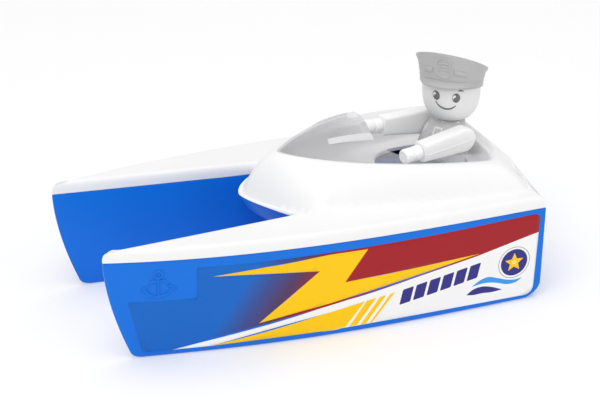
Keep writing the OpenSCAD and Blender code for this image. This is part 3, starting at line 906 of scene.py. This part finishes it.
def local(turn, origin=(DRIVER_X, 0.0, 0.0), lift=0.0, mirror=False):
    """Map from a figure piece's own frame, facing +X, to hull coordinates."""
    c, s = math.cos(math.radians(turn)), math.sin(math.radians(turn))
    cl, sl = math.cos(math.radians(lift)), math.sin(math.radians(lift))

    def place_local(p):
        x, y, z = p
        if mirror:
            y = -y
        x, z = x * cl - z * sl, x * sl + z * cl
        return (origin[0] + c * x - s * y, origin[1] + s * x + c * y, origin[2] + z)
    return place_local


def mapped(part, f):
    return [f(p) for p in part[0]], part[1]


def lathe(profile, count=64):
    rings = []
    for r, z in profile:
        rings.append([(r * math.cos(2 * math.pi * i / count), r * math.sin(2 * math.pi * i / count),
                       z) for i in range(count)])
    verts = [p for r in rings for p in r]
    faces = ring_faces(len(rings), count)
    faces += [tuple(range(count)), tuple(range((len(rings) - 1) * count, len(rings) * count))]
    return verts, faces


BROW = 110.6


def head_radius(z):
    base = NECK + 0.3
    if z < base + 15.2:
        c = 1 - max(0.0, z - base) / 15.2
        return 8.6 + (HEAD_R - 8.6) * math.sqrt(max(0.0, 1 - c * c))
    return HEAD_R


HEADING = DRIVER_TURN + HEAD_TURN
head_map = local(HEADING, (DRIVER_X - NECK_BACK * math.cos(math.radians(DRIVER_TURN)),
                           -NECK_BACK * math.sin(math.radians(DRIVER_TURN)), 0.0))


def on_head(azimuth, z, proud=0.0):
    a = math.radians(azimuth)
    r = head_radius(z) + proud
    return head_map((r * math.cos(a), r * math.sin(a), z))


profile = [(5.0, NECK + 0.3), (7.9, NECK + 0.35), (8.5, NECK + 0.6)]
profile += [(head_radius(z), z) for z in np.linspace(NECK + 1.0, BROW, 26)]
profile += [(HEAD_R - 0.15, BROW + 0.9), (HEAD_R - 0.6, BROW + 1.9), (HEAD_R - 1.6, BROW + 3.0),
            (HEAD_R - 4, BROW + 4.2), (4, BROW + 4.5)]
head_verts, head_faces = lathe(profile)
nose_bump = []
for x, y, z in head_verts:
    a, r = math.degrees(math.atan2(y, x)), math.hypot(x, y)
    bump = 0.35 * math.exp(-(a / 4.5) ** 2 - ((z - 104.6) / 1.3) ** 2)
    nose_bump.append((x * (1 + bump / max(r, 1)), y * (1 + bump / max(r, 1)), z))
new_object("head_moulding", *mapped((nose_bump, head_faces), head_map), "head", "pale_grey_plastic",
           MAT["pale"], "driver_head", 50)


def face_print(name, outline, layers, step=1.2):
    """Printed feature on the head. Outlines are (degrees from the nose, height)."""
    decal(name, outline, layers, lambda a, z: on_head(a, z, 0.09), (step * 3.4, step), "head",
          "pale_grey_plastic",
          [MAT["ink"], MAT["ink_white"]], None, 0.08)


def eye(name, azimuth, z, tilt):
    def ring(da, dz, ra, rz, count=28):
        out = []
        for i in range(count):
            t = 2 * math.pi * i / count
            u, v = ra * math.cos(t), rz * math.sin(t)
            out.append((azimuth + da + (u * math.cos(tilt) - v * math.sin(tilt)) * 3.6,
                        z + dz + u * math.sin(tilt) + v * math.cos(tilt)))
        return out
    face_print(name, ring(0, 0, 2.15, 2.75), [(1, ring(-3.0, 1.0, 0.62, 0.75, 14)),
                                              (1, ring(-5.8, 0.2, 0.3, 1.0, 10))])


eye("eye_near_bow", -19.1, 107.6, 0.2)
eye("eye_near_stern", 21.2, 106.8, 0.0)


def brush(points, widths):
    """Outline of a stroke that swells and thins along its path."""
    path = catmull(points, 5)
    ws = np.interp(np.linspace(0, 1, len(path)), np.linspace(0, 1, len(widths)), widths)
    left, right = [], []
    for i, p in enumerate(path):
        d = path[min(i + 1, len(path) - 1)] - path[max(i - 1, 0)]
        d = np.array((d[0] / 3.6, d[1]))
        d = d / np.linalg.norm(d)
        side = np.array((-d[1] * 3.6, d[0])) * ws[i]
        left.append(tuple(p + side))
        right.append(tuple(p - side))
    return left + right[::-1]


face_print("smile", brush([(-20.0, 103.9), (-14, 101.9), (-5.5, 100.5), (4.5, 100.0), (13.5, 100.6),
                           (20.8, 102.2)], [0.26, 0.44, 0.5, 0.44, 0.22]), [])
face_print("brow_mark", brush([(24.5, 110.7), (30.0, 111.1), (36.0, 110.3)], [0.12, 0.42, 0.18]), [])


CAP_ASKEW = -10.0


def cap_ring(r, z, tilt, count=72):
    """Tilted circle, highest a little to the side of the face."""
    out = []
    for i in range(count):
        t = 2 * math.pi * i / count
        u = math.radians(CAP_ASKEW)
        flat, side = r * math.cos(t) * math.cos(math.radians(tilt)), r * math.sin(t)
        out.append((flat * math.cos(u) - side * math.sin(u), flat * math.sin(u) + side * math.cos(u),
                    z + r * math.cos(t) * math.sin(math.radians(tilt))))
    return out


CAP_WALL = [(17.85, 110.0, 10), (18.0, 111.2, 11.5), (18.05, 112.8, 13), (18.3, 114.6, 16.5),
            (18.75, 116.6, 20), (19.1, 118.4, 23),
            (19.5, 120.0, 26), (20.15, 121.2, 28.4), (20.6, 121.9, 29.6), (20.75, 122.5, 30), (20.65, 122.95,
                    30), (19.9, 123.2, 30),
            (18.6, 123.25, 30), (17.0, 123.1, 30), (15.2, 123.3, 30), (11, 123.9, 30), (5, 124.2, 30)]


def cap_piece():
    inner = [(16.85, 111.2, 10), (16.9, 110.2, 10), (17.5, 109.75, 10)]
    rings = [cap_ring(r, z, t) for r, z, t in inner + CAP_WALL]
    n = len(rings[0])
    faces = ring_faces(len(rings), n) + [tuple(range((len(rings) - 1) * n, len(rings) * n))]
    ceiling = len(rings) * n
    verts = [p for r in rings for p in r]
    lining = [(16.8 * math.cos(2 * math.pi * i / n), 16.8 * math.sin(2 * math.pi * i / n),
               116.0) for i in range(n)]
    verts += lining
    faces += [(i, (i + 1) % n, ceiling + (i + 1) % n, ceiling + i) for i in range(n)]
    faces.append(tuple(range(ceiling, ceiling + n)))
    return verts, faces


new_object("cap_moulding", *mapped(cap_piece(), head_map), "cap", "grey_plastic", MAT["grey"], "driver_cap",
           35)


def cap_at(azimuth, rise, proud=0.0):
    """Point on the cap's wall, azimuth in degrees from the nose, rise from 0 at its foot to 1 at its brim."""
    index = rise * 8
    k = min(7, int(index))
    f = index - k
    r, z, tilt = (mix(CAP_WALL[k][j], CAP_WALL[k + 1][j], f) for j in range(3))
    t = math.radians(azimuth - CAP_ASKEW)
    r += proud
    u = math.radians(CAP_ASKEW)
    flat, side = r * math.cos(t) * math.cos(math.radians(tilt)), r * math.sin(t)
    return (flat * math.cos(u) - side * math.sin(u), flat * math.sin(u) + side * math.cos(u),
            z + r * math.cos(t) * math.sin(math.radians(tilt)))


def cap_bead(name, points, half_width, height, closed=False):
    path = [np.array(p, float) for p in points]
    rows = []
    profile = [(-1, -0.3), (-0.8, 0.55), (-0.35, 0.95), (0.35, 0.95), (0.8, 0.55), (1, -0.3)]
    for i, p in enumerate(path):
        if closed:
            d = path[(i + 1) % len(path)] - path[i - 1]
        else:
            d = path[min(i + 1, len(path) - 1)] - path[max(i - 1, 0)]
        d = np.array((d[0] / 3.2, d[1] * 13))
        d = d / max(1e-9, np.linalg.norm(d))
        side = np.array((-d[1] * 3.2, d[0] / 13)) * half_width
        rows.append([cap_at(*(p + side * u), height * h) for u, h in profile])
    n = len(profile)
    faces = ring_faces(len(rows), n, closed=False, wrap=closed)
    if not closed:
        faces += [tuple(range(n)), tuple(range((len(rows) - 1) * n, len(rows) * n))]
    verts = [head_map(p) for r in rows for p in r]
    new_object(name, verts, faces, "cap", "grey_plastic", MAT["grey"], None, 30)


def cap_trim():
    """Crest, straps and band line. Places are (degrees from the nose, share of the cap wall's height)."""
    turns = np.linspace(0, 2 * math.pi, 33)[:-1]
    cap_bead("cap_crest_edge", [(15 * math.cos(a) - 4, 0.60 + 0.25 * math.sin(a)) for a in turns], 0.65, 0.62, True)
    for k, rise in enumerate((0.52, 0.60, 0.68)):
        bar = [(-12 + 16 * i / 8, rise + 0.02 * math.sin(math.pi * i / 8)) for i in range(9)]
        cap_bead(f"cap_crest_bar_{k}", bar, 0.5, 0.5)
    cap_bead("cap_strap_stern", [(15 + 22 * i / 10, 0.50 - 0.015 * i / 10) for i in range(11)], 0.95, 0.7)
    cap_bead("cap_strap_bow", [(-24 - 20 * i / 10, 0.50 - 0.015 * i / 10) for i in range(11)], 0.95, 0.7)
    cap_bead("cap_band_line", [(-179 + 358 * i / 72, 0.30) for i in range(73)], 0.35, 0.22)


cap_trim()


def peak():
    """Short peak that dips over the brow, with a rolled edge."""
    rows = []
    for i in range(37):
        a = math.radians(-58 + 116 * i / 36)
        share = max(0.0, math.cos(a / math.radians(58) * math.pi / 2)) ** 0.55
        inner_r, outer_r = 17.4, 17.9 + 3.6 * share
        top = 113.6 + 2.6 * math.cos(a) * 1.1
        low = 112.4 + 1.6 * math.cos(a) * 1.1
        section = [(inner_r, top + 0.6), (mix(inner_r, outer_r, 0.5), mix(top, low, 0.4) + 0.75),
                   (outer_r - 0.5, low + 0.85), (outer_r, low + 0.35), (outer_r - 0.15, low - 0.25),
                   (outer_r - 0.8, low - 0.3), (mix(inner_r, outer_r, 0.4), mix(top, low, 0.5) - 0.7),
                   (inner_r, top - 0.9)]
        rows.append([(r * math.cos(a), r * math.sin(a), z) for r, z in section])
    n = len(rows[0])
    faces = ring_faces(len(rows), n) + [tuple(range(n)), tuple(range((len(rows) - 1) * n, len(rows) * n))]
    return [p for r in rows for p in r], faces


new_object("cap_peak", *mapped(peak(), head_map), "cap", "grey_plastic", MAT["grey"], None, 40)

# Torso: an oval shell leaning back, with a shoulder flat on each side and a cut-out for the legs.

TORSO = [(7.3, 14.2, SEAT + 0.3, 0), (8.2, 15.5, SEAT + 0.9, 0), (8.8, 16.2, SEAT + 2, 0),
         (9.1, 16.7, 61, 0), (9.2, 16.8, 68, 0), (9.15, 16.3, 73, 0.5),
         (9.0, 15.4, 77, 1.2), (8.8, 14.2, 80.5, 2.1), (8.6, 12.9, 83.5, 3.2), (8.3, 11.5, 86, 4.4), (7.9,
                 10.0, 88, 5.6), (7.4, 8.8, 89.3, 6.5), (6.6, 7.8, 90, 7)]
torso_map = local(DRIVER_TURN)


def torso_at(azimuth, z, proud=0.0):
    zs = [t[2] for t in TORSO]
    a, b, back = (float(np.interp(z, zs, [t[k] for t in TORSO])) for k in (0, 1, 3))
    t = math.radians(azimuth)
    x, y = a * bowed(math.cos(t), 0.8), b * bowed(math.sin(t), 0.8)
    n = math.hypot(x / a / a, y / b / b)
    if z > 75.2:
        y = max(-12.55, min(12.55, y))
    return (x + proud * x / a / a / n - back, y + proud * y / b / b / n, z)


def torso():
    heights = sorted({t[2] for t in TORSO} | {75.1, 75.3, 64.5, 70.5, 78.8, 82, 84.8})
    rings = [[torso_at(360 * i / 72, z) for i in range(72)] for z in heights]
    faces = ring_faces(len(rings), 72) + [tuple(range((len(rings) - 1) * 72, len(rings) * 72))]

    def front_low(k):
        around = (k % 72 + 0.5) * 5
        return k < len(faces) - 1 and heights[k // 72] < 68 and min(around, abs(360 - around)) < 42
    return [p for r in rings for p in r], [f for k, f in enumerate(faces) if not front_low(k)]


body = new_object("torso_moulding", *mapped(torso(), torso_map), "driver", "grey_plastic", MAT["torso"],
                  "driver_torso", 40)
wall = body.modifiers.new("wall", "SOLIDIFY")
wall.thickness = 0.0014
wall.offset = -1


def torso_print(name, outline, layers):
    """Printed mark on the torso. Outlines are (degrees from the front, height)."""
    decal(name, outline, layers, lambda a, z: torso_map(torso_at(a, z, 0.1)), (5.0, 1.5), "driver",
          "grey_plastic", [MAT["ink_white"], MAT["torso"], MAT["ink_white"]], None, 0.08)


def shield(az, z, w, h):
    return [(az - w, z + h), (az + w, z + h * 1.05), (az + w * 0.92, z - h * 0.35), (az, z - h),
            (az - w * 0.92, z - h * 0.35)]


torso_print("shield_badge", shield(10, 82.0, 12, 3.9),
            [(1, shield(10, 82.1, 9, 3.0)), (2, circle(11, 82.6, 0.9, 14))])
torso_print("bar_badge", [(-42, 80.6), (-29, 80.6), (-29, 85.0), (-42, 85.0)],
            [(1, [(-40, 81.1), (-31, 81.1), (-31, 84.5), (-40, 84.5)]),
             (2, [(-37, 81.9), (-34, 81.9), (-34, 83.7), (-37, 83.7)])])
torso_print("collar_port", [(8, 88.6), (86, 88.6), (86, 89.4), (8, 89.3)], [])
torso_print("collar_starboard", [(-8, 88.6), (-60, 88.6), (-60, 89.3), (-8, 89.3)], [])

# Arms: tapered sleeves with a rounded shoulder, and stepped fists.

def sleeve():
    """Rounded box from the shoulder disk to the cuff. Each ring is (x, half height, half thickness)."""
    stations = []
    for a in np.linspace(-88, 0, 12):
        t = math.radians(a)
        stations.append((7.2 * math.sin(t), 7.2 * math.cos(t), 4.4 * (0.9 + 0.1 * math.cos(t))))
    for i in range(1, 13):
        f = i / 12
        stations.append((31 * f, mix(7.2, 5.2, f), 4.4))
    stations += [(31.0, 4.9, 4.1), (31.0, 4.2, 3.4)]
    rings = []
    for x, h, w in stations:
        ring = []
        for i in range(40):
            t = 2 * math.pi * i / 40
            ring.append((x, w * bowed(math.cos(t), 0.3), h * bowed(math.sin(t), 0.3)))
        rings.append(ring)
    faces = ring_faces(len(rings), 40) + [tuple(range(40)),
                                          tuple(range((len(rings) - 1) * 40, len(rings) * 40))]
    return [p for r in rings for p in r], faces


def fist():
    profile = [(2.0, 28.5), (2.0, 31.3), (3.8, 31.3), (4.1, 31.6), (4.2, 32.0), (4.2, 35.8), (4.0, 36.2),
               (3.5, 36.45), (3.5, 37.0), (4.0, 37.2),
               (4.2, 37.6), (4.2, 41.8), (4.0, 42.5), (3.5, 42.95), (2.8, 43.0), (2.6, 42.6), (2.0, 42.5)]
    verts, faces = lathe(profile, 48)
    return [(z, y, x) for x, y, z in verts], faces


def crease_line(points):
    rows = []
    for x, z in points:
        rows.append([(x, 4.4 + 0.02, z - 0.28), (x, 4.4 + 0.22, z - 0.12), (x, 4.4 + 0.22, z + 0.12),
                     (x, 4.4 + 0.02, z + 0.28)])
    n = 4
    faces = ring_faces(len(rows), n) + [tuple(range(n)), tuple(range((len(rows) - 1) * n, len(rows) * n))]
    return [p for r in rows for p in r], faces


def arm(side, origin_y, lift, mirror):
    c, s = math.cos(math.radians(DRIVER_TURN)), math.sin(math.radians(DRIVER_TURN))
    f = local(DRIVER_TURN, (DRIVER_X - s * origin_y, c * origin_y, SHOULDER), lift, mirror)
    new_object(f"{side}_sleeve", *mapped(sleeve(), f), f"{side}_arm", "off_white_plastic", MAT["arm"],
               f"{side}_arm", 32)
    seam = crease_line([(-6 + 3 * i, -0.4 - i / 12) for i in range(13)])
    new_object(f"{side}_sleeve_seam", *mapped(seam, f), f"{side}_arm", "off_white_plastic", MAT["arm"], None, 30)
    new_object(f"{side}_fist", *mapped(fist(), f), f"{side}_hand", "off_white_plastic", MAT["arm"],
               f"{side}_hand", 40)


arm("left", ARM_OFFSET, 0.0, False)
arm("right", -ARM_OFFSET, RIGHT_LIFT, True)

# The seat, the legs and the screws keep their exact shapes, with softened edges.

for name, key, width in (("seat", "blue", 0.4), ("driver_legs", "dark", 0.35),
                         ("hull_screws", "steel", 0.15), ("hip_pin", "steel", 0.2)):
    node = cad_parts[name]
    node.data.materials.clear()
    node.data.materials.append(MAT[key])
    bevel(node, width, 2, 40)

# ---------------------------------------------------------------- floor, light and camera

def studio_floor():
    """Pale sweep: a table with a shallow roll, rising softly behind the toy."""
    rows = []
    for i in range(41):
        v = i / 40
        y = 1.6 - 4.4 * v
        z = 0.0 if y > -1.4 else 0.9 * (-(y + 1.4)) ** 2
        rows.append([(1000 * (-3 + 6 * j / 24) + 125, 1000 * y, 1000 * z) for j in range(25)])
    mesh = bpy.data.meshes.new("floor")
    mesh.from_pydata([place(p) for r in rows for p in r], [], ring_faces(41, 25, closed=False))
    mesh.shade_smooth()
    obj = bpy.data.objects.new("floor", mesh)
    bpy.context.scene.collection.objects.link(obj)
    paper = plastic("studio_paper", (0.8, 0.8, 0.8), 0.8, 0.004, 0.02, sheen=0.1)
    paper.node_tree.nodes["Principled BSDF"].inputs["Emission Color"].default_value = (1, 1, 1, 1)
    paper.node_tree.nodes["Principled BSDF"].inputs["Emission Strength"].default_value = 0.2
    mesh.materials.append(paper)


studio_floor()


def lamp(name, location, size, power, aim=(0, 0, 0.04)):
    data = bpy.data.lights.new(name, "AREA")
    data.shape = "RECTANGLE"
    data.size, data.size_y = size
    data.energy = power
    obj = bpy.data.objects.new(name, data)
    obj.location = location
    obj.rotation_euler = (Vector(aim) - Vector(location)).to_track_quat("-Z", "Y").to_euler()
    bpy.context.scene.collection.objects.link(obj)


lamp("key", (0.75, 0.9, 1.5), (1.2, 1.2), 11)
lamp("top", (-0.2, -0.1, 1.7), (1.8, 1.8), 9)
lamp("fill", (-1.2, 1.3, 0.7), (1.2, 0.9), 3)

world = bpy.data.worlds.new("studio")
bpy.context.scene.world = world
world.use_nodes = True
world.node_tree.nodes["Background"].inputs["Color"].default_value = (1.0, 1.0, 1.0, 1)
world.node_tree.nodes["Background"].inputs["Strength"].default_value = 0.58

camera_data = bpy.data.cameras.new("photo_camera")
camera = bpy.data.objects.new("photo_camera", camera_data)
bpy.context.scene.collection.objects.link(camera)
camera.location = (0.4126, 1.0551, 0.5638)
camera_data.lens = 133.0
camera_data.sensor_width = 36.0
camera_data.shift_x = -2.9 / 600
camera_data.shift_y = -1.0 / 600
look = (Vector((-0.0068, 0, 0.0498)) - camera.location).to_track_quat("-Z", "Y")
camera.rotation_euler = (look.to_matrix() @ Matrix.Rotation(math.radians(-0.17), 3, "Z")).to_euler()
bpy.context.scene.camera = camera
bpy.context.scene.view_settings.view_transform = "Standard"
